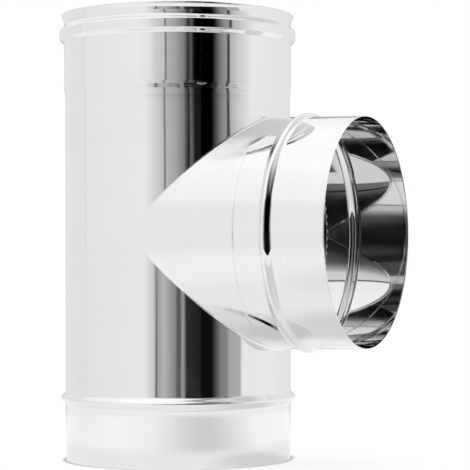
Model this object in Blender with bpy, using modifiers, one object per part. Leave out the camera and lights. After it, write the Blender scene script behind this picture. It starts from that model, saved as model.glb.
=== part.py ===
"""Stove pipe tee of polished stainless sheet: an upright tube with a level branch of the same nominal size.

Metres, +Z up. The tube stands on z = 0 and the branch points along +X. The origin is the middle of the
footprint, so the tube's axis stands a little to its left.
"""

import math

import bmesh
import bpy

# Sheet, fits, and the gap that is left along each welded joint
SHEET = 0.0005
WELD_GAP = 0.0003
SOCKET_CLEARANCE = 0.00025  # between a spigot's wall and the socket round it
RIM_LAND = 0.0008  # short straight edge that ends every formed end

# Upright tube, from its bottom rim up
TUBE_RADIUS = 0.0750
FOOT_SPIGOT = 0.0371
STOP_BEAD_WIDTH = 0.0088
STOP_BEAD_RISE = 0.0029
PLAIN_BELOW = 0.0273  # between the stop bead and the saddle
PLAIN_ABOVE = 0.0170  # between the saddle and the shoulder
SHOULDER_WIDTH = 0.0045
SOCKET_WALL = 0.0281
SOCKET_BEAD_FLANK = 0.0036
SOCKET_BEAD_CREST = 0.0050
SOCKET_BEAD_RISE = 0.0030
LIP_DEPTH = 0.0074
LIP_FLARE = 0.00175

# Plain ends that push into the next pipe: a little full at the bead, and drawn in towards the rim
SPIGOT_SWELL = 0.0002
SPIGOT_DRAW = 0.0002

# Saddle, whose fish-mouth edge is turned out into a flange that lies on the tube
FLANGE_WIDTH = 0.0012
CROWN_LENGTH = 0.0012  # sheet between the tube and the saddle's front edge, on the crown
WING_START = 0.0030  # reach from the tube's axis at which the two wings end
WING_COVER = 0.0003  # sheet that stands past the tube's flank where a wing ends
FLANGE_LEAD = 0.0004  # by which the flange starts before the wing
HOLE_LEDGE = 0.0021  # tube wall that is left inside the saddle, round the hole

# Collar, from the saddle out to the mouth
COLLAR_WALL = 0.0162
BRANCH_BEAD_WIDTH = 0.0092
BRANCH_BEAD_RISE = 0.0024
BRANCH_SPIGOT = 0.0346

# Facets
SEGMENTS = 72
SWAGE_STEPS = 4
LIP_STEPS = 4
ROLL_STEPS = 8
CRISP_ANGLE = math.radians(40)

# Radii that follow
SOCKET_RADIUS = TUBE_RADIUS + SOCKET_CLEARANCE + SHEET
SPIGOT_ROOT_RADIUS = TUBE_RADIUS + SPIGOT_SWELL
SPIGOT_TIP_RADIUS = TUBE_RADIUS - SPIGOT_DRAW
SEAT_RADIUS = TUBE_RADIUS + WELD_GAP
BRANCH_RADIUS = SEAT_RADIUS + WING_COVER
BRANCH_BORE_RADIUS = BRANCH_RADIUS - SHEET
FLANGE_RADIUS = BRANCH_RADIUS + FLANGE_WIDTH
HOLE_RADIUS = BRANCH_BORE_RADIUS - HOLE_LEDGE

# Heights above the bottom rim that follow
STOP_BEAD_TOP = FOOT_SPIGOT + STOP_BEAD_WIDTH
BRANCH_HEIGHT = STOP_BEAD_TOP + PLAIN_BELOW + FLANGE_RADIUS
SHOULDER_FOOT = BRANCH_HEIGHT + FLANGE_RADIUS + PLAIN_ABOVE
SOCKET_FOOT = SHOULDER_FOOT + SHOULDER_WIDTH
SOCKET_BEAD_FOOT = SOCKET_FOOT + SOCKET_WALL
CREST_FOOT = SOCKET_BEAD_FOOT + SOCKET_BEAD_FLANK
CREST_TOP = CREST_FOOT + SOCKET_BEAD_CREST
NECK = CREST_TOP + SOCKET_BEAD_FLANK
TUBE_HEIGHT = NECK + LIP_DEPTH

# Reaches from the tube's axis that follow
SADDLE_FRONT = SEAT_RADIUS + CROWN_LENGTH
COLLAR_BACK = SADDLE_FRONT + WELD_GAP
BRANCH_BEAD_BACK = COLLAR_BACK + COLLAR_WALL
BRANCH_BEAD_FRONT = BRANCH_BEAD_BACK + BRANCH_BEAD_WIDTH
BRANCH_REACH = BRANCH_BEAD_FRONT + BRANCH_SPIGOT

# The widest roll and the mouth end the footprint, whose middle is the origin
WIDEST_RADIUS = max(
    SOCKET_RADIUS + LIP_FLARE,
    SOCKET_RADIUS + SOCKET_BEAD_RISE,
    TUBE_RADIUS + STOP_BEAD_RISE,
)
TUBE_AXIS_X = (WIDEST_RADIUS - BRANCH_REACH) / 2
MERGE_DISTANCE = 0.0001  # under which turned points are one


def polished_steel(name, shade, roughness):
    """Bright stainless sheet."""
    material = bpy.data.materials.new(name)
    material.use_nodes = True
    shader = material.node_tree.nodes["Principled BSDF"]
    shader.inputs["Base Color"].default_value = (shade, shade, shade, 1.0)
    shader.inputs["Metallic"].default_value = 1.0
    shader.inputs["Roughness"].default_value = roughness
    return material


def swage(start, end):
    """S-curve from one (radius, height) point to another, straight along the axis at both ends."""
    points = []
    for step in range(SWAGE_STEPS + 1):
        share = step / SWAGE_STEPS
        ease = (1 - math.cos(math.pi * share)) / 2
        radius = start[0] + (end[0] - start[0]) * ease
        height = start[1] + (end[1] - start[1]) * share
        points.append((radius, height))
    return points


def rolled_bead(start, end, rise):
    """Round bead that stands out of the wall between two (radius, height) points."""
    points = []
    for step in range(ROLL_STEPS + 1):
        share = step / ROLL_STEPS
        swell = rise * (1 - math.cos(2 * math.pi * share)) / 2
        radius = start[0] + (end[0] - start[0]) * share + swell
        height = start[1] + (end[1] - start[1]) * share
        points.append((radius, height))
    return points


def flared_lip():
    """Lip of the socket: a short straight edge, then a curve that closes in to just short of the neck."""
    points = [(SOCKET_RADIUS + LIP_FLARE, TUBE_HEIGHT)]
    for step in range(LIP_STEPS):
        left = 1 - step / LIP_STEPS
        radius = SOCKET_RADIUS + LIP_FLARE * left**2
        height = NECK + (LIP_DEPTH - RIM_LAND) * left
        points.append((radius, height))
    return points


def tube_profile():
    """Outer side of the upright tube, from its top rim to its bottom rim."""
    crest_radius = SOCKET_RADIUS + SOCKET_BEAD_RISE
    points = flared_lip()
    points += swage((SOCKET_RADIUS, NECK), (crest_radius, CREST_TOP))
    points += swage((crest_radius, CREST_FOOT), (SOCKET_RADIUS, SOCKET_BEAD_FOOT))
    points += swage((SOCKET_RADIUS, SOCKET_FOOT), (TUBE_RADIUS, SHOULDER_FOOT))
    points += rolled_bead((TUBE_RADIUS, STOP_BEAD_TOP), (SPIGOT_ROOT_RADIUS, FOOT_SPIGOT), STOP_BEAD_RISE)
    points.append((SPIGOT_TIP_RADIUS, RIM_LAND))
    points.append((SPIGOT_TIP_RADIUS, 0.0))
    return points


def collar_profile():
    """Outer side of the collar, from the mouth back to the saddle; its heights are reaches from the tube."""
    bead_front = (SPIGOT_ROOT_RADIUS, BRANCH_BEAD_FRONT)
    bead_back = (BRANCH_RADIUS, BRANCH_BEAD_BACK)
    points = [(SPIGOT_TIP_RADIUS, BRANCH_REACH)]
    points.append((SPIGOT_TIP_RADIUS, BRANCH_REACH - RIM_LAND))
    points += rolled_bead(bead_front, bead_back, BRANCH_BEAD_RISE)
    points.append((BRANCH_RADIUS, COLLAR_BACK))
    return points


def link(name, mesh, collection, parent):
    """Object of a mesh, placed by the frame that carries it."""
    piece = bpy.data.objects.new(name, mesh)
    collection.objects.link(piece)
    piece.parent = parent
    return piece


def rolled_sheet(name, profile, collection, parent):
    """Sheet turned about the local Z axis from its outer profile, with its wall grown inwards."""
    mesh = bpy.data.meshes.new(name)
    edges = [(index, index + 1) for index in range(len(profile) - 1)]
    mesh.from_pydata([(radius, 0.0, height) for radius, height in profile], edges, [])
    piece = link(name, mesh, collection, parent)

    turn = piece.modifiers.new("Turn", "SCREW")
    turn.steps = SEGMENTS
    turn.render_steps = SEGMENTS
    turn.use_merge_vertices = True
    turn.merge_threshold = MERGE_DISTANCE
    wall = piece.modifiers.new("Wall", "SOLIDIFY")
    wall.thickness = SHEET
    wall.offset = -1.0
    wall.use_even_offset = True
    return piece


def round_bar(name, radius, low, high, collection, parent):
    """Solid cylinder along the local Z axis, from one height to another."""
    mesh = bpy.data.meshes.new(name)
    shape = bmesh.new()
    bmesh.ops.create_cone(
        shape,
        cap_ends=True,
        segments=SEGMENTS,
        radius1=radius,
        radius2=radius,
        depth=high - low,
    )
    bmesh.ops.translate(shape, verts=shape.verts, vec=(0.0, 0.0, (low + high) / 2))
    shape.to_mesh(mesh)
    shape.free()
    return link(name, mesh, collection, parent)


def combine(piece, tool, operation):
    """Boolean of the piece with a guide, which itself isn't part of the tee."""
    step = piece.modifiers.new(tool.name, "BOOLEAN")
    step.operation = operation
    step.object = tool
    step.solver = "EXACT"
    tool.hide_render = True
    tool.display_type = "WIRE"


def finish(piece, material):
    """Makes the modelled form the piece's own mesh, smooth on the rolls and crisp at cut edges."""
    graph = bpy.context.evaluated_depsgraph_get()
    mesh = bpy.data.meshes.new_from_object(piece.evaluated_get(graph))
    piece.modifiers.clear()
    piece.data = mesh
    mesh.name = piece.name
    mesh.materials.clear()
    mesh.materials.append(material)
    mesh.shade_smooth()
    mesh.set_sharp_from_angle(angle=CRISP_ANGLE)


def make_body_tube(parts, guides, tee, branch):
    """Upright tube: one rolled sheet with its socket, beads and spigot, and the hole for the branch."""
    tube = rolled_sheet("body_tube", tube_profile(), parts, tee)
    hole = round_bar("hole_cutter", HOLE_RADIUS, 0.0, SADDLE_FRONT, guides, branch)
    combine(tube, hole, "DIFFERENCE")
    finish(tube, polished_steel("body_steel", 0.86, 0.05))


def make_branch_saddle(parts, guides, tee, branch):
    """Short tube on the branch's axis, whose fish-mouth edge seats on the tube with a narrow flange."""
    saddle = round_bar("branch_saddle", BRANCH_RADIUS, WING_START + FLANGE_LEAD, SADDLE_FRONT, parts, branch)
    flange = round_bar("flange_blank", SEAT_RADIUS + SHEET, STOP_BEAD_TOP, SHOULDER_FOOT, guides, tee)
    outline = round_bar("flange_outline", FLANGE_RADIUS, WING_START, SADDLE_FRONT, guides, branch)
    seat = round_bar("seat_cutter", SEAT_RADIUS, 0.0, TUBE_HEIGHT, guides, tee)
    bore = round_bar("bore_cutter", BRANCH_BORE_RADIUS, 0.0, BRANCH_REACH, guides, branch)
    combine(flange, outline, "INTERSECT")
    combine(saddle, flange, "UNION")
    combine(saddle, seat, "DIFFERENCE")
    combine(saddle, bore, "DIFFERENCE")
    finish(saddle, polished_steel("saddle_steel", 0.87, 0.05))


def make_branch_collar(parts, branch):
    """Formed ring on the front of the saddle: a stop bead, then the plain spigot with the open mouth."""
    collar = rolled_sheet("branch_collar", collar_profile(), parts, branch)
    finish(collar, polished_steel("collar_steel", 0.88, 0.04))


def frame_empty(name, location, turn, parent, collection):
    """Empty that carries a group of pieces; turn is its angle about Y."""
    empty = bpy.data.objects.new(name, None)
    empty.location = location
    empty.rotation_euler = (0.0, turn, 0.0)
    empty.parent = parent
    collection.objects.link(empty)
    return empty


def build():
    """Clears the scene and makes the three welded pieces."""
    for old in list(bpy.data.objects):
        bpy.data.objects.remove(old)
    parts = bpy.data.collections.new("stove_pipe_tee")
    guides = bpy.data.collections.new("guides")
    bpy.context.scene.collection.children.link(parts)
    bpy.context.scene.collection.children.link(guides)

    tee = frame_empty("tee_frame", (TUBE_AXIS_X, 0.0, 0.0), 0.0, None, parts)
    branch = frame_empty("branch_frame", (0.0, 0.0, BRANCH_HEIGHT), math.pi / 2, tee, parts)
    make_body_tube(parts, guides, tee, branch)
    make_branch_saddle(parts, guides, tee, branch)
    make_branch_collar(parts, branch)


build()
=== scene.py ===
"""Looks of the stove pipe tee: polished sheet, its welds and marks, on a white studio table."""

import math

import bpy
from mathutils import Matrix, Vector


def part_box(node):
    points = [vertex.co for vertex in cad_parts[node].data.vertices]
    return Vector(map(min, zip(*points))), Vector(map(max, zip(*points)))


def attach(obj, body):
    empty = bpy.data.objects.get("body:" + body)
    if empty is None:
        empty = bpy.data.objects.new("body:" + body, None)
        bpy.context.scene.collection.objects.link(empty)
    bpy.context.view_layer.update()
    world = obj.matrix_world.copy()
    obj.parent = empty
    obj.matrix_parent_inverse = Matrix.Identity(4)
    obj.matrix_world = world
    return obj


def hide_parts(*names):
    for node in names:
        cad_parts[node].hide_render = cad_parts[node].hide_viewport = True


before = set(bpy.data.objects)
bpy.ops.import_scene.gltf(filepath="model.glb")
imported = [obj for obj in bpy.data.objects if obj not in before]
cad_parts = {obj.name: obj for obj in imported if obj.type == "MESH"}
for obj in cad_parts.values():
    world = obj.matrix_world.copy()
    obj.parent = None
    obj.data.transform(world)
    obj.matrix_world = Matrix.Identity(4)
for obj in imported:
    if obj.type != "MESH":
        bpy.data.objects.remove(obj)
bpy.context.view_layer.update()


# Body tube
# The upright pipe is one stainless sheet, 0.5 mm thick, rolled round and butt-welded down its length.
# Rollers form its flared lip, bead and wider socket on top, and its stop bead and plain spigot below. The
# sheet keeps the mirror finish that it has from the mill.
SHEET = 0.0005
TUBE_RADIUS = 0.0750
TUBE_HEIGHT = 0.29599
RIM_LAND = 0.0008
SPIGOT_ROOT = 0.0752
SPIGOT_TIP = 0.0748
STOP_BEAD_FOOT = 0.0371
STOP_BEAD_TOP = 0.0459
STOP_BEAD_RISE = 0.0029
SHOULDER_FOOT = 0.2408
SOCKET_FOOT = 0.2468
SOCKET_RADIUS = 0.07575
SOCKET_BEAD_FOOT = 0.2764
CREST_FOOT = 0.2800
CREST_TOP = 0.2850
SOCKET_BEAD_RISE = 0.0030
NECK = 0.2886
LIP_FLARE = 0.00175
LIP_STEPS = 12
ROLL_STEPS = 20
TURN_STEPS = 288
RIM_ROUNDING = 0.00012
RIM_SEGMENTS = 2
RIM_ANGLE = math.radians(60)
FLAT_MARGIN = 0.0004
MERGE_DISTANCE = 0.00001
SMOOTH_ANGLE = math.radians(40)
BRANCH_HEIGHT = 0.1500
HOLE_RADIUS = 0.0730
CREST_RADIUS = SOCKET_RADIUS + SOCKET_BEAD_RISE
tube_axis_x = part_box("body_tube")[0].x + CREST_RADIUS


def swage(start, end):
    """Points of an S-curve between two (radius, height) points, without the first one."""
    points = []
    for step in range(1, ROLL_STEPS + 1):
        share = step / ROLL_STEPS
        ease = (1 - math.cos(math.pi * share)) / 2
        radius = start[0] + (end[0] - start[0]) * ease
        points.append((radius, start[1] + (end[1] - start[1]) * share))
    return points


def rolled_bead(start, end, rise):
    """Points of a round bead between two (radius, height) points, without the first one."""
    points = []
    for step in range(1, 2 * ROLL_STEPS + 1):
        share = step / (2 * ROLL_STEPS)
        swell = rise * (1 - math.cos(2 * math.pi * share)) / 2
        radius = start[0] + (end[0] - start[0]) * share + swell
        points.append((radius, start[1] + (end[1] - start[1]) * share))
    return points


def plain(start, end):
    """Points of a straight stretch, without the first one; one near each end keeps its shading flat."""
    points = []
    length = end[1] - start[1]
    for share in (FLAT_MARGIN / length, 1 - FLAT_MARGIN / length, 1.0):
        points.append((start[0] + (end[0] - start[0]) * share, start[1] + length * share))
    return points


def tube_profile():
    """Outer side of the tube, from its bottom rim to its top rim."""
    points = [(SPIGOT_TIP, 0.0), (SPIGOT_TIP, RIM_LAND)]
    points += plain((SPIGOT_TIP, RIM_LAND), (SPIGOT_ROOT, STOP_BEAD_FOOT))
    points += rolled_bead((SPIGOT_ROOT, STOP_BEAD_FOOT), (TUBE_RADIUS, STOP_BEAD_TOP), STOP_BEAD_RISE)
    points += plain((TUBE_RADIUS, STOP_BEAD_TOP), (TUBE_RADIUS, SHOULDER_FOOT))
    points += swage((TUBE_RADIUS, SHOULDER_FOOT), (SOCKET_RADIUS, SOCKET_FOOT))
    points += plain((SOCKET_RADIUS, SOCKET_FOOT), (SOCKET_RADIUS, SOCKET_BEAD_FOOT))
    points += swage((SOCKET_RADIUS, SOCKET_BEAD_FOOT), (CREST_RADIUS, CREST_FOOT))
    points += plain((CREST_RADIUS, CREST_FOOT), (CREST_RADIUS, CREST_TOP))
    points += swage((CREST_RADIUS, CREST_TOP), (SOCKET_RADIUS, NECK))
    for step in range(1, LIP_STEPS + 1):
        opened = step / LIP_STEPS
        height = NECK + (TUBE_HEIGHT - RIM_LAND - NECK) * opened
        points.append((SOCKET_RADIUS + LIP_FLARE * opened**2, height))
    points.append((SOCKET_RADIUS + LIP_FLARE, TUBE_HEIGHT))
    return points


def deselect():
    """Leaves nothing selected, so that the next operator works on the new piece alone."""
    if bpy.context.object and bpy.context.object.mode != "OBJECT":
        bpy.ops.object.mode_set(mode="OBJECT")
    bpy.ops.object.select_all(action="DESELECT")


def turned(name, points, about, steps=TURN_STEPS, bearing=0.0, sweep=2 * math.pi):
    """Profile of (radius, distance) points, drawn point by point and spun about the tube's or branch's axis.

    bearing is the angle at which it is drawn: from -Y towards +X for the tube, from +Z towards +Y for the
    branch.
    """
    deselect()
    if about == "tube":
        centre, axis = (tube_axis_x, 0.0, 0.0), (0.0, 0.0, -1.0)
        across, along = (math.sin(bearing), -math.cos(bearing), 0.0), (0.0, 0.0, 1.0)
    else:
        centre, axis = (tube_axis_x, 0.0, BRANCH_HEIGHT), (1.0, 0.0, 0.0)
        across, along = (0.0, math.sin(bearing), math.cos(bearing)), (1.0, 0.0, 0.0)
    place = [centre[i] + across[i] * points[0][0] + along[i] * points[0][1] for i in range(3)]
    bpy.ops.mesh.primitive_plane_add(size=SHEET, location=place)
    piece = bpy.context.object
    piece.name = name
    bpy.ops.object.mode_set(mode="EDIT")
    bpy.ops.mesh.merge(type="CENTER")
    for last, new in zip(points, points[1:]):
        out, on = new[0] - last[0], new[1] - last[1]
        move = [across[i] * out + along[i] * on for i in range(3)]
        bpy.ops.mesh.extrude_region_move(TRANSFORM_OT_translate={"value": move})
    bpy.ops.mesh.select_all(action="SELECT")
    bpy.ops.mesh.spin(steps=steps, angle=sweep, center=centre, axis=axis)
    bpy.ops.mesh.select_all(action="SELECT")
    bpy.ops.mesh.remove_doubles(threshold=MERGE_DISTANCE)
    bpy.ops.mesh.normals_make_consistent(inside=False)
    bpy.ops.object.mode_set(mode="OBJECT")
    bpy.ops.object.transform_apply(location=True, rotation=True, scale=True)
    return piece


def apply_modifiers(piece):
    """Applies the piece's modifiers from the top down."""
    bpy.context.view_layer.objects.active = piece
    for modifier in list(piece.modifiers):
        bpy.ops.object.modifier_apply(modifier=modifier.name)


def give_wall(piece, outside, inside):
    """Grows the sheet's thickness inwards and takes the sharpness off its cut rims."""
    piece.data.materials.append(outside)
    piece.data.materials.append(inside)
    wall = piece.modifiers.new("wall", "SOLIDIFY")
    wall.thickness = SHEET
    wall.offset = -1.0
    wall.use_even_offset = True
    wall.material_offset = 1
    rims = piece.modifiers.new("rims", "BEVEL")
    rims.width = RIM_ROUNDING
    rims.segments = RIM_SEGMENTS
    rims.limit_method = "ANGLE"
    rims.angle_limit = RIM_ANGLE
    apply_modifiers(piece)


def finish(piece):
    """Bakes the piece's place into its mesh, shades its rolls smooth and lets it ride on the tee."""
    deselect()
    piece.select_set(True)
    bpy.context.view_layer.objects.active = piece
    bpy.ops.object.transform_apply(location=True, rotation=True, scale=True)
    bpy.ops.object.shade_smooth_by_angle(angle=SMOOTH_ANGLE)
    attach(piece, "root")


OUTSIDE_SHADE = 0.87
# Painted shade: the inner sides get a darker base colour for the dim inside, a little for the branch, much
# for the tube.
BRANCH_INSIDE_PAINTED_SHADE = 0.76
TUBE_INSIDE_PAINTED_SHADE = 0.22
# Painted light: how much paler the tube's inner side grows towards its open top.
PAINTED_LIGHT_GAIN = 0.60
TONE_CHANGE = (0.012, -0.025)
TONE_RANGE = (0.7, 1.4)
LINE_DETAIL = 2.0
SMUDGE_SCALE = 26.0
SMUDGE_DETAIL = 5.0
SMUDGE_RANGE = (0.48, 0.78)
RIPPLE_SCALE = 13.0
RIPPLE_DETAIL = 1.0
WORKED_SCALE = 70.0
WORKED_DETAIL = 2.0
WORKED_DEPTH = 0.0004


def steel(
    name,
    shade,
    dull,
    sharpest,
    grain,
    ripple_depth,
    worked_at=None,
    worked_width=0.0,
    painted_light_above=None,
):
    """Mirror-bright sheet with faint mill lines, thin smudges and the slow ripple of thin metal.

    grain stretches the mill lines. worked_at is a height at which rollers have left the sheet uneven.
    Painted light may be given: two heights between which a dark inner side grows paler to the open top.
    """
    material = bpy.data.materials.new(name)
    material.use_nodes = True
    nodes, links = material.node_tree.nodes, material.node_tree.links
    shader = nodes["Principled BSDF"]
    shader.inputs["Metallic"].default_value = 1.0
    place = nodes.new("ShaderNodeTexCoord")

    def noise(scale, detail, source):
        """Noise texture on object coordinates, or on coordinates that a Mapping node has stretched."""
        node = nodes.new("ShaderNodeTexNoise")
        node.inputs["Scale"].default_value = scale
        node.inputs["Detail"].default_value = detail
        links.new(source, node.inputs["Vector"])
        return node.outputs["Fac"]

    def spread(source, low, high, from_low=0.0, from_high=1.0):
        """Maps a value from one range to another, clamped at both ends."""
        node = nodes.new("ShaderNodeMapRange")
        node.inputs["From Min"].default_value = from_low
        node.inputs["From Max"].default_value = from_high
        node.inputs["To Min"].default_value = low
        node.inputs["To Max"].default_value = high
        links.new(source, node.inputs["Value"])
        return node.outputs["Result"]

    def blend(operation, first, second):
        """Math node between two values, of which the second may be a plain number."""
        node = nodes.new("ShaderNodeMath")
        node.operation = operation
        links.new(first, node.inputs[0])
        if isinstance(second, float):
            node.inputs[1].default_value = second
        else:
            links.new(second, node.inputs[1])
        return node.outputs["Value"]

    stretch = nodes.new("ShaderNodeMapping")
    stretch.inputs["Scale"].default_value = grain
    links.new(place.outputs["Object"], stretch.inputs["Vector"])
    lines = noise(1.0, LINE_DETAIL, stretch.outputs["Vector"])
    smudges = noise(SMUDGE_SCALE, SMUDGE_DETAIL, place.outputs["Object"])
    links.new(spread(smudges, sharpest, dull, *SMUDGE_RANGE), shader.inputs["Roughness"])

    paler, darker = [shade + change for change in TONE_CHANGE]
    tone = spread(blend("ADD", lines, smudges), paler, darker, *TONE_RANGE)
    split = nodes.new("ShaderNodeSeparateXYZ")
    links.new(place.outputs["Object"], split.inputs["Vector"])
    # Painted light: the base colour grows paler towards the open top, as light falling in there would light
    # it.
    if painted_light_above is not None:
        tone = blend("ADD", tone, spread(split.outputs["Z"], 0.0, PAINTED_LIGHT_GAIN, *painted_light_above))
    colour = nodes.new("ShaderNodeCombineColor")
    for channel in ("Red", "Green", "Blue"):
        links.new(tone, colour.inputs[channel])
    links.new(colour.outputs["Color"], shader.inputs["Base Color"])

    ripple = noise(RIPPLE_SCALE, RIPPLE_DETAIL, place.outputs["Object"])
    height = blend("MULTIPLY", ripple, ripple_depth)
    if worked_at is not None:
        away = blend("ABSOLUTE", blend("SUBTRACT", split.outputs["Z"], worked_at), 0.0)
        near = spread(away, 1.0, 0.0, 0.0, worked_width)
        uneven = blend("MULTIPLY", noise(WORKED_SCALE, WORKED_DETAIL, place.outputs["Object"]), near)
        height = blend("ADD", height, blend("MULTIPLY", uneven, WORKED_DEPTH))
    bump = nodes.new("ShaderNodeBump")
    bump.inputs["Strength"].default_value = 1.0
    bump.inputs["Distance"].default_value = 1.0
    links.new(height, bump.inputs["Height"])
    links.new(bump.outputs["Normal"], shader.inputs["Normal"])
    return material


tube_outside = steel(
    "tube_outside",
    shade=OUTSIDE_SHADE,
    dull=0.09,
    sharpest=0.012,
    grain=(3.0, 3.0, 700.0),
    ripple_depth=0.00012,
    worked_at=SHOULDER_FOOT + 0.0020,
    worked_width=0.0050,
)
# The inner side: a dark base colour as painted shade, painted paler towards the open top as painted light.
tube_inside = steel(
    "tube_inside",
    shade=TUBE_INSIDE_PAINTED_SHADE,
    dull=0.46,
    sharpest=0.34,
    grain=(3.0, 3.0, 700.0),
    ripple_depth=0.00012,
    painted_light_above=(0.212, 0.246),
)
body_tube = turned("rolled_tube", tube_profile(), about="tube")
give_wall(body_tube, tube_outside, tube_inside)
deselect()
hole_reach = TUBE_RADIUS + SHEET
bpy.ops.mesh.primitive_cylinder_add(
    vertices=TURN_STEPS,
    radius=HOLE_RADIUS,
    depth=hole_reach,
    location=(tube_axis_x + hole_reach / 2, 0.0, BRANCH_HEIGHT),
    rotation=(0.0, math.pi / 2, 0.0),
)
hole = bpy.context.object
cut = body_tube.modifiers.new("hole", "BOOLEAN")
cut.object = hole
cut.solver = "EXACT"
apply_modifiers(body_tube)
bpy.data.objects.remove(hole)
finish(body_tube)
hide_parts("body_tube")


# Tube weld
# The butt weld that closes the rolled tube, ground flush on the plain stretches. The rollers can't flatten
# it in the tight corners beside the bead and at the shoulder, where it stands out as three small bulges.
TUBE_WELD_BEARING = math.radians(38.55)
TUBE_WELD_WIDTH = 0.0011
TUBE_WELD_RISE = 0.00001
TUBE_WELD_DEPTH = SHEET / 4
TUBE_WELD_STEPS = 4
TUBE_WELD_STOP = 0.0462  # from the branch's axis, just under the saddle's edge
BULGES = (
    # height, radius at which its middle lies, half width, half height, rise
    (0.2866, 0.0775, 0.0036, 0.0016, 0.0013),
    (0.2782, 0.0773, 0.0036, 0.0016, 0.0012),
    (SHOULDER_FOOT + 0.0038, 0.0754, 0.0031, 0.0008, 0.0003),
)
BULGE_SEGMENTS = 32
BULGE_RINGS = 16

outwards = (math.sin(TUBE_WELD_BEARING), -math.cos(TUBE_WELD_BEARING), 0.0)
bare = tube_profile()
below = [point for point in bare if RIM_LAND <= point[1] <= STOP_BEAD_TOP]
below.append((TUBE_RADIUS, BRANCH_HEIGHT - TUBE_WELD_STOP))
above = [(TUBE_RADIUS, BRANCH_HEIGHT + TUBE_WELD_STOP)]
above += [point for point in bare if SHOULDER_FOOT <= point[1] <= TUBE_HEIGHT - RIM_LAND]
weld_sweep = TUBE_WELD_WIDTH / TUBE_RADIUS
strips = []
for stretch in (below, above):
    strip = turned(
        "tube_weld",
        [(radius + TUBE_WELD_RISE, height) for radius, height in stretch],
        about="tube",
        steps=TUBE_WELD_STEPS,
        bearing=TUBE_WELD_BEARING - weld_sweep / 2,
        sweep=weld_sweep,
    )
    if strip.data.polygons[0].normal.dot(outwards) < 0:
        bpy.ops.object.mode_set(mode="EDIT")
        bpy.ops.mesh.flip_normals()
        bpy.ops.object.mode_set(mode="OBJECT")
    skin = strip.modifiers.new("skin", "SOLIDIFY")
    skin.thickness = TUBE_WELD_DEPTH
    skin.offset = -1.0
    apply_modifiers(strip)
    strips.append(strip)
tube_weld = strips[0]
bulges = []
for height, radius, half_width, half_height, rise in BULGES:
    deselect()
    bpy.ops.mesh.primitive_uv_sphere_add(
        segments=BULGE_SEGMENTS,
        ring_count=BULGE_RINGS,
        radius=1.0,
        location=(tube_axis_x + radius * outwards[0], radius * outwards[1], height),
        rotation=(0.0, 0.0, TUBE_WELD_BEARING),
        scale=(half_width, rise, half_height),
    )
    bulges.append(bpy.context.object)
    bpy.ops.object.mode_set(mode="EDIT")
    sunk = radius - SHEET
    bpy.ops.mesh.bisect(
        plane_co=(tube_axis_x + sunk * outwards[0], sunk * outwards[1], height),
        plane_no=outwards,
        clear_inner=True,
        use_fill=True,
    )
    bpy.ops.object.mode_set(mode="OBJECT")
deselect()
for part in strips + bulges:
    part.select_set(True)
bpy.context.view_layer.objects.active = tube_weld
bpy.ops.object.join()
tube_weld.data.materials.clear()
tube_weld.data.materials.append(tube_outside)
finish(tube_weld)


# Branch saddle
# A short tube of the same sheet, cut to a fish mouth that fits round the body tube. Its edge is turned out
# into a narrow flange that lies on the tube, and the tips of its two wings are dressed down flush.
BRANCH_RADIUS = 0.0756
SADDLE_FRONT = 0.0765
WING_START = 0.0030
FLANGE_WIDTH = 0.0012
FLANGE_TOP = 0.0758  # radius of its upper face about the tube's axis, just more than the branch's radius
SADDLE_STEPS = 360
SADDLE_CUTS = 23
TIP_LENGTH = 0.0260
TIP_DRESSED = 0.0006
TIP_FALL = 0.5

deselect()
bpy.ops.mesh.primitive_cylinder_add(
    vertices=4 * SADDLE_STEPS,
    radius=FLANGE_TOP,
    depth=4 * BRANCH_RADIUS,
    location=(tube_axis_x, 0.0, BRANCH_HEIGHT),
)
seat_guide = bpy.context.object
deselect()
bpy.ops.mesh.primitive_circle_add(
    vertices=SADDLE_STEPS,
    radius=BRANCH_RADIUS,
    location=(tube_axis_x + SADDLE_FRONT, 0.0, BRANCH_HEIGHT),
    rotation=(0.0, math.pi / 2, 0.0),
)
saddle = bpy.context.object
saddle.name = "fish_mouth_saddle"
bpy.ops.object.transform_apply(location=True, rotation=True, scale=True)
bpy.ops.object.mode_set(mode="EDIT")
bpy.ops.mesh.select_all(action="SELECT")
to_wings = (WING_START - SADDLE_FRONT, 0.0, 0.0)
bpy.ops.mesh.extrude_region_move(TRANSFORM_OT_translate={"value": to_wings})
bpy.ops.object.vertex_group_assign_new()
bpy.ops.mesh.extrude_region_move(TRANSFORM_OT_translate={"value": (0.0, 0.0, 0.0)})
bpy.ops.transform.resize(
    value=(1.0, 1.0, (BRANCH_RADIUS + FLANGE_WIDTH) / BRANCH_RADIUS),
    center_override=(tube_axis_x, 0.0, BRANCH_HEIGHT),
)
bpy.ops.object.vertex_group_assign()
bpy.ops.object.mode_set(mode="OBJECT")
seat = saddle.modifiers.new("seat", "SHRINKWRAP")
seat.wrap_method = "PROJECT"
seat.use_project_x = True
seat.use_positive_direction = True
seat.use_negative_direction = False
seat.target = seat_guide
seat.vertex_group = saddle.vertex_groups[0].name
apply_modifiers(saddle)
bpy.data.objects.remove(seat_guide)

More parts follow.
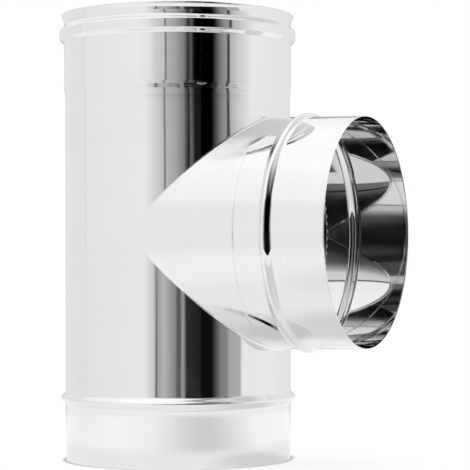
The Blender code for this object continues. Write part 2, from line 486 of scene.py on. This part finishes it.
front_x = tube_axis_x + SADDLE_FRONT
bpy.ops.object.mode_set(mode="EDIT")
bpy.ops.mesh.select_mode(type="EDGE")
bpy.ops.mesh.select_all(action="SELECT")
bpy.ops.mesh.remove_doubles(threshold=MERGE_DISTANCE)
bpy.ops.mesh.select_all(action="DESELECT")
bpy.ops.object.mode_set(mode="OBJECT")
for edge in saddle.data.edges:
    ends = [saddle.data.vertices[index].co.x for index in edge.vertices]
    edge.select = abs(max(ends) - front_x) < SHEET / 2 and max(ends) - min(ends) > SHEET
bpy.ops.object.mode_set(mode="EDIT")
bpy.ops.mesh.subdivide(number_cuts=SADDLE_CUTS)
bpy.ops.mesh.select_mode(type="VERT")
bpy.ops.mesh.select_all(action="SELECT")
bpy.ops.mesh.normals_make_consistent(inside=False)
bpy.ops.object.mode_set(mode="OBJECT")
tips = saddle.vertex_groups.new(name="tips")
for vertex in saddle.data.vertices:
    reach = vertex.co.x - tube_axis_x
    if reach < TIP_LENGTH:
        tips.add([vertex.index], (1 - reach / TIP_LENGTH) ** TIP_FALL, "REPLACE")
dressed = saddle.modifiers.new("dressed", "DISPLACE")
dressed.vertex_group = tips.name
dressed.mid_level = 0.0
dressed.strength = -TIP_DRESSED
apply_modifiers(saddle)
saddle.vertex_groups.clear()
saddle_outside = steel(
    "saddle_outside",
    shade=OUTSIDE_SHADE,
    dull=0.24,
    sharpest=0.13,
    grain=(700.0, 3.0, 3.0),
    ripple_depth=0.00014,
)
saddle_inside = steel(
    "saddle_inside",
    shade=BRANCH_INSIDE_PAINTED_SHADE,
    dull=0.16,
    sharpest=0.04,
    grain=(700.0, 3.0, 3.0),
    ripple_depth=0.00014,
)
give_wall(saddle, saddle_outside, saddle_inside)
finish(saddle)
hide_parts("branch_saddle")


# Branch collar
# A separate ring on the front of the saddle, with a rolled stop bead and the plain spigot that ends in the
# open mouth. It is the same bright sheet, and its mill lines run round it.
COLLAR_BACK = 0.0768
BRANCH_BEAD_BACK = 0.0930
BRANCH_BEAD_FRONT = 0.1022
BRANCH_BEAD_RISE = 0.0024
BRANCH_REACH = 0.1368

bead_back = (BRANCH_RADIUS, BRANCH_BEAD_BACK)
bead_front = (SPIGOT_ROOT, BRANCH_BEAD_FRONT)
profile = [(BRANCH_RADIUS, COLLAR_BACK)]
profile += plain(profile[0], bead_back)
profile += rolled_bead(bead_back, bead_front, BRANCH_BEAD_RISE)
profile += plain(bead_front, (SPIGOT_TIP, BRANCH_REACH - RIM_LAND))
profile.append((SPIGOT_TIP, BRANCH_REACH))
collar = turned("beaded_collar", profile, about="branch")
collar_outside = steel(
    "collar_outside",
    shade=OUTSIDE_SHADE,
    dull=0.08,
    sharpest=0.012,
    grain=(700.0, 3.0, 3.0),
    ripple_depth=0.00012,
)
collar_inside = steel(
    "collar_inside",
    shade=BRANCH_INSIDE_PAINTED_SHADE,
    dull=0.14,
    sharpest=0.03,
    grain=(700.0, 3.0, 3.0),
    ripple_depth=0.00012,
)
give_wall(collar, collar_outside, collar_inside)
finish(collar)
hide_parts("branch_collar")


# Branch weld
# The seam that joins the collar to the saddle: a fine ring run between the two edges without filler, flush
# outside, and a row of small spots on the inner side, where the torch has stitched them together first.
SEAM_DEPTH = 0.0001
SEAM_OVERLAP = 0.0002
SEAM_THICKNESS = SHEET / 2
SPOTS = 90
SPOT_LENGTH = 0.0022
SPOT_WIDTH = 0.0011
SPOT_RISE = 0.0004
SPOT_SEGMENTS = 16
SPOT_RINGS = 8

weld_steel = steel(
    "weld_steel",
    shade=OUTSIDE_SHADE - 0.03,
    dull=0.22,
    sharpest=0.06,
    grain=(200.0, 200.0, 200.0),
    ripple_depth=0.0,
)
seam = [
    (BRANCH_RADIUS - SEAM_DEPTH, SADDLE_FRONT - SEAM_OVERLAP),
    (BRANCH_RADIUS - SEAM_DEPTH, COLLAR_BACK + SEAM_OVERLAP),
]
branch_weld = turned("branch_weld", seam, about="branch")
skin = branch_weld.modifiers.new("skin", "SOLIDIFY")
skin.thickness = SEAM_THICKNESS
skin.offset = -1.0
apply_modifiers(branch_weld)
branch_weld.data.materials.append(weld_steel)

deselect()
bpy.ops.mesh.primitive_uv_sphere_add(
    segments=SPOT_SEGMENTS,
    ring_count=SPOT_RINGS,
    radius=1.0,
    location=(tube_axis_x + COLLAR_BACK, 0.0, BRANCH_HEIGHT + BRANCH_RADIUS - SHEET),
    scale=(SPOT_WIDTH / 2, SPOT_LENGTH / 2, SPOT_RISE),
)
spot = bpy.context.object
bpy.ops.object.transform_apply(location=True, rotation=True, scale=True)
spot.data.materials.append(weld_steel)
spots = [spot]
for number in range(1, SPOTS):
    deselect()
    spot.select_set(True)
    bpy.context.view_layer.objects.active = spot
    bpy.ops.object.duplicate(linked=False)
    bpy.ops.transform.rotate(
        value=2 * math.pi * number / SPOTS,
        orient_axis="X",
        center_override=(tube_axis_x, 0.0, BRANCH_HEIGHT),
    )
    spots.append(bpy.context.object)
deselect()
for spot in spots:
    spot.select_set(True)
branch_weld.select_set(True)
bpy.context.view_layer.objects.active = branch_weld
bpy.ops.object.join()
finish(branch_weld)


# Studio table
# A white table under the tee, plain white all round it. The camera sees the tee's own soft shadow
# below the branch, thinned by its glow, and a painted contact shadow, a thin dark line round the foot.
# The metal sees a glow of painted light and shade: paler or darker round the tee, as the lamps would
# fall on it, a painted shadow below the branch, and painted light and shade inside the foot.
TABLE_SIZE = 12.0
TABLE_PAINT = 0.93
TABLE_ROUGHNESS = 0.9
# Painted shadow: an oval below the branch, darker in the glow that the metal sees.
SHADOW_CENTRE = (0.070, -0.014)
SHADOW_SIZE = (0.052, 0.058)
SHADOW_EDGE = (0.40, 1.40)  # the shadow's two edges are shares of its size, the others metres from the axis
PAINTED_SHADOW_TONE = 0.73
# For the camera the glow is thinner in the oval, so the table's real shadow shows through there.
SEEN_SHADOW_EDGE = (0.20, 1.70)
SEEN_SHADOW_SHARE = 0.84
# Painted contact shadow: the glow that the camera sees darkens to a thin line round the foot.
CONTACT_EDGE = (0.0752, 0.0790)
CONTACT_PAINTED_SHADOW = 0.50
# Painted light and shade inside the foot: lit towards the branch and the front, dark elsewhere.
FOOT_EDGE = (0.0745, 0.0755)
FOOT_PAINTED_SHADE = 0.10
FOOT_PAINTED_LIGHT = 0.78
FOOT_LIT_RIGHT = (0.001, 0.006)
FOOT_LIT_FRONT = (0.020, 0.030)
# A little painted shade on the table near the tee, in the glow that the metal sees.
NEAR_EDGE = (0.130, 0.200)
NEAR_PAINTED_SHADE = 0.92
# Painted light and shade by bearing: above white where lamps would fall, darker where the dark room faces.
TABLE_PAINTED_LIGHT = (
    # degrees to the right of the camera, tone
    (-180.0, 1.04),
    (-110.0, 0.98),
    (-60.0, 1.02),
    (-24.0, 0.98),
    (16.0, 0.70),
    (30.0, 0.70),
    (74.0, 1.03),
    (180.0, 1.04),
)
FAR_EDGE = (0.38, 0.43)
FAR_TONE = 0.96
# Painted shade on the table behind the tee, in the glow that the metal sees.
BACK_SHADE = (
    (-180.0, 0.30),
    (-166.0, 0.45),
    (-150.0, 0.90),
    (-140.0, 1.0),
    (140.0, 1.0),
    (160.0, 0.72),
    (180.0, 0.30),
)
CAMERA_AZIMUTH = math.radians(27.149)


def add_node(tree, kind, **settings):
    """Adds a node to a material and sets the properties that are named."""
    node = tree.nodes.new(kind)
    for setting, value in settings.items():
        setattr(node, setting, value)
    return node


def join_values(tree, operation, first, second):
    """Math node of two outputs."""
    node = add_node(tree, "ShaderNodeMath", operation=operation)
    tree.links.new(first, node.inputs[0])
    tree.links.new(second, node.inputs[1])
    return node.outputs["Value"]


def tone_ramp(tree, source, low, high, tones):
    """Colour that runs through the given tones, set at places between low and high of a value."""
    share = add_node(tree, "ShaderNodeMapRange")
    share.inputs["From Min"].default_value = low
    share.inputs["From Max"].default_value = high
    tree.links.new(source, share.inputs["Value"])
    ramp = add_node(tree, "ShaderNodeValToRGB")
    stops = ramp.color_ramp.elements
    stops.remove(stops[1])
    for number, (place, tone) in enumerate(tones):
        position = (place - low) / (high - low)
        stop = stops.new(position) if number else stops[0]
        stop.position = position
        stop.color = (tone, tone, tone, 1.0)
    tree.links.new(share.outputs["Result"], ramp.inputs["Fac"])
    return ramp.outputs["Color"]


def from_axis(tree):
    """Object coordinates measured from the tube's axis, with the camera's side turned to -Y."""
    place = add_node(tree, "ShaderNodeTexCoord")
    turn = add_node(tree, "ShaderNodeMapping", vector_type="TEXTURE")
    turn.inputs["Location"].default_value = (tube_axis_x, 0.0, 0.0)
    turn.inputs["Rotation"].default_value = (0.0, 0.0, CAMERA_AZIMUTH)
    tree.links.new(place.outputs["Object"], turn.inputs["Vector"])
    split = add_node(tree, "ShaderNodeSeparateXYZ")
    tree.links.new(turn.outputs["Vector"], split.inputs["Vector"])
    return split.outputs


def tones_around(tree, tones):
    """Colour that runs through the tones, by the angle round the tube's axis from the camera's side."""
    sides = from_axis(tree)
    front = add_node(tree, "ShaderNodeMath", operation="MULTIPLY")
    front.inputs[1].default_value = -1.0
    tree.links.new(sides["Y"], front.inputs[0])
    angle = join_values(tree, "ARCTAN2", sides["X"], front.outputs["Value"])
    degrees = add_node(tree, "ShaderNodeMath", operation="DEGREES")
    tree.links.new(angle, degrees.inputs[0])
    return tone_ramp(tree, degrees.outputs["Value"], -180.0, 180.0, tones)


def blend_colours(tree, share, first, second):
    """Colour between two, by a share; a colour is an output or a grey tone.

    The node has sockets of each kind, of which 6 and 7, and 2 on its way out, are the colours.
    """
    mix = add_node(tree, "ShaderNodeMix", data_type="RGBA")
    tree.links.new(share, mix.inputs[0])
    for number, colour in ((6, first), (7, second)):
        if isinstance(colour, float):
            mix.inputs[number].default_value = (colour, colour, colour, 1.0)
        else:
            tree.links.new(colour, mix.inputs[number])
    return mix.outputs[2]


def share_past(tree, source, edge):
    """Share that grows smoothly from 0 to 1 between the two values of edge."""
    node = add_node(tree, "ShaderNodeMapRange", interpolation_type="SMOOTHSTEP")
    node.inputs["From Min"].default_value = edge[0]
    node.inputs["From Max"].default_value = edge[1]
    tree.links.new(source, node.inputs["Value"])
    return node.outputs["Result"]


deselect()
bpy.ops.mesh.primitive_plane_add(size=TABLE_SIZE, location=(0.0, 0.0, 0.0))
table = bpy.context.object
table.name = "table"
white_table = bpy.data.materials.new("white_table")
white_table.use_nodes = True
tree = white_table.node_tree
paint = tree.nodes["Principled BSDF"]
paint.inputs["Base Color"].default_value = (TABLE_PAINT, TABLE_PAINT, TABLE_PAINT, 1.0)
paint.inputs["Roughness"].default_value = TABLE_ROUGHNESS
paint.inputs["Specular IOR Level"].default_value = 0.0
sides = from_axis(tree)
right_squared = join_values(tree, "MULTIPLY", sides["X"], sides["X"])
front_squared = join_values(tree, "MULTIPLY", sides["Y"], sides["Y"])
square_root = add_node(tree, "ShaderNodeMath", operation="SQRT")
tree.links.new(join_values(tree, "ADD", right_squared, front_squared), square_root.inputs[0])
away = square_root.outputs["Value"]
table_painted_light = tones_around(tree, TABLE_PAINTED_LIGHT)
floor_painted_light = blend_colours(tree, share_past(tree, away, NEAR_EDGE), NEAR_PAINTED_SHADE, table_painted_light)
floor_painted_light = blend_colours(tree, share_past(tree, away, FAR_EDGE), floor_painted_light, FAR_TONE)
floor_painted_light = join_values(tree, "MULTIPLY", floor_painted_light, tones_around(tree, BACK_SHADE))

place = add_node(tree, "ShaderNodeTexCoord")
foot = add_node(tree, "ShaderNodeMapping", vector_type="TEXTURE")
foot.inputs["Location"].default_value = (tube_axis_x, 0.0, 0.0)
foot.inputs["Rotation"].default_value = (0.0, 0.0, math.pi)
tree.links.new(place.outputs["Object"], foot.inputs["Vector"])
split = add_node(tree, "ShaderNodeSeparateXYZ")
tree.links.new(foot.outputs["Vector"], split.inputs["Vector"])
painted_shade_share = share_past(tree, split.outputs["X"], (-FOOT_LIT_RIGHT[1], -FOOT_LIT_RIGHT[0]))
front_lit = share_past(tree, split.outputs["Y"], FOOT_LIT_FRONT)
foot_painted_light = blend_colours(tree, painted_shade_share, FOOT_PAINTED_LIGHT, FOOT_PAINTED_SHADE)
foot_painted_light = blend_colours(tree, front_lit, foot_painted_light, FOOT_PAINTED_LIGHT)

oval = add_node(tree, "ShaderNodeMapping", vector_type="TEXTURE")
oval.inputs["Location"].default_value = (SHADOW_CENTRE[0], SHADOW_CENTRE[1], 0.0)
oval.inputs["Scale"].default_value = (SHADOW_SIZE[0], SHADOW_SIZE[1], 1.0)
tree.links.new(place.outputs["Object"], oval.inputs["Vector"])
from_centre = add_node(tree, "ShaderNodeVectorMath", operation="LENGTH")
tree.links.new(oval.outputs["Vector"], from_centre.inputs[0])
reach = from_centre.outputs["Value"]
floor_painted_light = blend_colours(tree, share_past(tree, reach, SHADOW_EDGE), PAINTED_SHADOW_TONE, floor_painted_light)
floor_painted_light = blend_colours(tree, share_past(tree, away, FOOT_EDGE), foot_painted_light, floor_painted_light)
seen_painted_shadow = blend_colours(tree, share_past(tree, away, CONTACT_EDGE), CONTACT_PAINTED_SHADOW, 1.0)

path = add_node(tree, "ShaderNodeLightPath")
seen_share = blend_colours(tree, share_past(tree, reach, SEEN_SHADOW_EDGE), SEEN_SHADOW_SHARE, 1.0)
seen_share = join_values(tree, "MULTIPLY", seen_share, path.outputs["Is Camera Ray"])
share = join_values(tree, "ADD", seen_share, path.outputs["Is Glossy Ray"])
painted_glow_tone = blend_colours(tree, path.outputs["Is Glossy Ray"], seen_painted_shadow, floor_painted_light)
glow = add_node(tree, "ShaderNodeEmission")
tree.links.new(painted_glow_tone, glow.inputs["Color"])
mix = add_node(tree, "ShaderNodeMixShader")
tree.links.new(share, mix.inputs["Fac"])
tree.links.new(paint.outputs["BSDF"], mix.inputs[1])
tree.links.new(glow.outputs["Emission"], mix.inputs[2])
tree.links.new(mix.outputs["Shader"], tree.nodes["Material Output"].inputs["Surface"])
table.data.materials.append(white_table)


# Studio walls
# Screens that only the metal shows: white panels in three rows, with soft grey edges and thin frames, and
# the dark room between the two in front. A narrower screen behind the tee has a dark gap in its middle.
WALL_DISTANCE = 0.60
LOWER_TOP = 0.15
MIDDLE_TOP = 0.2975
UPPER_TOP = 0.50
WALL_STEPS = 180
LEFT_FRAME = (
    # degrees to the right of the camera, tone
    (-103.2, 0.85),
    (-102.4, 0.79),
    (-101.4, 0.79),
    (-100.6, 0.88),
)
BEHIND = ((150.0, 0.84),)
LOWER_TONES = (
    *LEFT_FRAME,
    (-32.0, 0.91),
    (-24.0, 0.66),
    (-21.6, 0.50),
    (-21.2, 0.08),
    (-20.4, 0.08),
    (-20.0, 0.38),
    (-14.0, 0.52),
    (-6.0, 0.33),
    (-2.4, 0.24),
    (-2.0, 0.12),
    (2.4, 0.11),
    (2.8, 0.34),
    (5.4, 0.30),
    (6.2, 0.03),
    (20.0, 0.016),
    (22.0, 0.004),
    (32.0, 0.006),
    (36.0, 0.09),
    (41.0, 0.24),
    (46.6, 0.26),
    (47.2, 0.14),
    (48.0, 0.42),
    (61.0, 0.47),
    (63.0, 0.90),
    (100.0, 0.93),
    *BEHIND,
)
MIDDLE_TONES = (
    *LEFT_FRAME,
    (-32.0, 0.93),
    (-20.0, 0.70),
    (-13.6, 0.56),
    (-13.0, 0.15),
    (-11.8, 0.15),
    (-11.2, 0.54),
    (-3.0, 0.42),
    (6.0, 0.22),
    (6.8, 0.11),
    (8.8, 0.08),
    (9.4, 0.01),
    (10.8, 0.01),
    (11.4, 0.15),
    (13.6, 0.12),
    (14.4, 0.012),
    (20.0, 0.012),
    (22.0, 0.0),
    (32.0, 0.0),
    (35.6, 0.06),
    (41.3, 0.25),
    (47.2, 0.36),
    (47.8, 0.07),
    (49.4, 0.07),
    (50.0, 0.48),
    (62.0, 0.72),
    (76.0, 0.93),
    *BEHIND,
)
SHOULDER_TONES = (
    *LEFT_FRAME,
    (-36.0, 0.93),
    (-24.0, 0.62),
    (-12.0, 0.30),
    (-3.0, 0.23),
    (6.0, 0.10),
    (9.0, 0.01),
    (31.0, 0.0),
    (36.0, 0.05),
    (47.0, 0.22),
    (55.0, 0.42),
    (70.0, 0.86),
    (80.0, 0.93),
    (105.0, 0.93),
    *BEHIND,
)
UPPER_TONES = (
    *LEFT_FRAME,
    (-36.0, 0.93),
    (-27.0, 0.86),
    (-19.7, 0.68),
    (-12.4, 0.60),
    (-12.0, 0.13),
    (-11.0, 0.13),
    (-10.6, 0.52),
    (-3.0, 0.42),
    (6.8, 0.20),
    (7.6, 0.05),
    (10.8, 0.03),
    (11.2, 0.10),
    (13.4, 0.10),
    (14.0, 0.010),
    (16.0, 0.0),
    (33.0, 0.0),
    (35.6, 0.06),
    (41.3, 0.25),
    (47.2, 0.38),
    (47.8, 0.06),
    (49.4, 0.06),
    (50.0, 0.52),
    (62.0, 0.72),
    (76.0, 0.93),
    *BEHIND,
)

BACK_GAP = 0.01
BACK_START = math.radians(150)
BACK_SWEEP = math.radians(60)
BACK_TONES = (
    (-180.0, 0.03),
    (-173.0, 0.04),
    (-165.0, 0.48),
    (-158.0, 0.78),
    (-150.0, 0.85),
    (150.0, 0.84),
    (160.0, 0.74),
    (168.0, 0.40),
    (174.0, 0.03),
)
SOFTBOX_TONES = (
    (-180.0, 1.01),
    (-12.0, 1.01),
    (6.0, 0.70),
    (14.0, 0.10),
    (32.0, 0.10),
    (44.0, 0.66),
    (60.0, 0.76),
    (125.0, 0.78),
    (150.0, 0.96),
    (180.0, 1.01),
)


def screen(name, points, tones, tones_above=None, change=(0.0, 1.0), start=0.0, sweep=2 * math.pi):
    """Screen spun round the tube's axis from (distance, height) points, seen by the metal alone.

    Its tones pass into tones_above between the two heights of change. A screen that isn't a full round
    begins at the bearing start.
    """
    piece = turned(name, points, about="tube", steps=WALL_STEPS, bearing=start, sweep=sweep)
    material = bpy.data.materials.new(name)
    material.use_nodes = True
    tree = material.node_tree
    tree.nodes.remove(tree.nodes["Principled BSDF"])
    light = add_node(tree, "ShaderNodeEmission")
    colour = tones_around(tree, tones)
    if tones_above:
        share = share_past(tree, from_axis(tree)["Z"], change)
        colour = blend_colours(tree, share, colour, tones_around(tree, tones_above))
    tree.links.new(colour, light.inputs["Color"])
    tree.links.new(light.outputs["Emission"], tree.nodes["Material Output"].inputs["Surface"])
    piece.data.materials.append(material)
    piece.visible_camera = False
    piece.visible_diffuse = False
    piece.visible_shadow = False


screen("lower_walls", [(WALL_DISTANCE, 0.0), (WALL_DISTANCE, LOWER_TOP)], LOWER_TONES)
screen(
    "middle_walls",
    [(WALL_DISTANCE, LOWER_TOP), (WALL_DISTANCE, MIDDLE_TOP)],
    MIDDLE_TONES,
    SHOULDER_TONES,
    change=(0.279, 0.294),
)
screen(
    "upper_walls",
    [(WALL_DISTANCE, MIDDLE_TOP), (WALL_DISTANCE, UPPER_TOP)],
    UPPER_TONES,
    SOFTBOX_TONES,
    change=(0.38, UPPER_TOP),
)
screen(
    "back_panel",
    [(WALL_DISTANCE - BACK_GAP, 0.0), (WALL_DISTANCE - BACK_GAP, UPPER_TOP)],
    BACK_TONES,
    start=CAMERA_AZIMUTH + BACK_START,
    sweep=BACK_SWEEP,
)


# Studio ceiling
# Broad softboxes above the walls, bright to the left and behind, greyer to the right, where the dark room
# still shows below and fades out. A bright one straight above lights up the tops of the rolled beads.
SOFTBOX_TOP = 1.12
CEILING_HEIGHT = 1.40
SOFTBOX_TOP_TONES = (
    (-180.0, 1.08),
    (-14.0, 1.08),
    (2.0, 0.76),
    (120.0, 0.76),
    (150.0, 1.00),
    (180.0, 1.08),
)
CEILING_TONES = ((-180.0, 1.12), (180.0, 1.12))

screen(
    "softboxes",
    [(WALL_DISTANCE, UPPER_TOP), (WALL_DISTANCE, SOFTBOX_TOP)],
    SOFTBOX_TONES,
    SOFTBOX_TOP_TONES,
    change=(UPPER_TOP, SOFTBOX_TOP),
)
screen("ceiling", [(WALL_DISTANCE, SOFTBOX_TOP), (SHEET, CEILING_HEIGHT)], CEILING_TONES)


# Studio light
# A white room all round, with one broad soft lamp above and to the left of the camera.
ROOM_LIGHT = 0.75
LAMP_PLACE = (-0.5, -0.6, 1.7)
LAMP_SIZE = 1.2
LAMP_POWER = 9.0
LAMP_TILT = math.radians(24)
LAMP_HEADING = math.radians(-40)

world = bpy.data.worlds.new("white_room")
bpy.context.scene.world = world
world.use_nodes = True
tree = world.node_tree
room = tree.nodes["Background"]
room.inputs["Color"].default_value = (1.0, 1.0, 1.0, 1.0)
path = add_node(tree, "ShaderNodeLightPath")
seen = join_values(tree, "MAXIMUM", path.outputs["Is Camera Ray"], path.outputs["Is Glossy Ray"])
seen = join_values(tree, "MAXIMUM", seen, path.outputs["Is Transmission Ray"])
level = add_node(tree, "ShaderNodeMapRange")
level.inputs["To Min"].default_value = ROOM_LIGHT
tree.links.new(seen, level.inputs["Value"])
tree.links.new(level.outputs["Result"], room.inputs["Strength"])

deselect()
bpy.ops.object.light_add(type="AREA", location=LAMP_PLACE)
lamp = bpy.context.object
lamp.name = "soft_lamp"
lamp.data.shape = "SQUARE"
lamp.data.size = LAMP_SIZE
lamp.data.energy = LAMP_POWER
lamp.visible_glossy = False
lamp.rotation_euler = (LAMP_TILT, 0.0, LAMP_HEADING)


# Camera
# Stands in front of the tee, a little to the right, at about half its height, as for a catalogue picture.
CAMERA_DISTANCE = 1.2544
EYE_HEIGHT = 0.1305
HEADING = math.radians(24.185)
PITCH = math.radians(0.251)
ROLL = math.radians(0.145)
SENSOR_WIDTH = 36.0
FOCAL_LENGTH = 142.97
SHIFT_RIGHT = -0.0851
SHIFT_UP = 0.0426

camera = bpy.data.objects.new("camera", bpy.data.cameras.new("camera"))
bpy.context.scene.collection.objects.link(camera)
camera.location = (
    tube_axis_x + CAMERA_DISTANCE * math.sin(CAMERA_AZIMUTH),
    -CAMERA_DISTANCE * math.cos(CAMERA_AZIMUTH),
    EYE_HEIGHT,
)
camera.rotation_euler = (math.pi / 2 + PITCH, ROLL, HEADING)
camera.data.sensor_width = SENSOR_WIDTH
camera.data.lens = FOCAL_LENGTH
camera.data.shift_x = SHIFT_RIGHT
camera.data.shift_y = SHIFT_UP
bpy.context.scene.camera = camera
bpy.context.scene.view_settings.view_transform = "Standard"
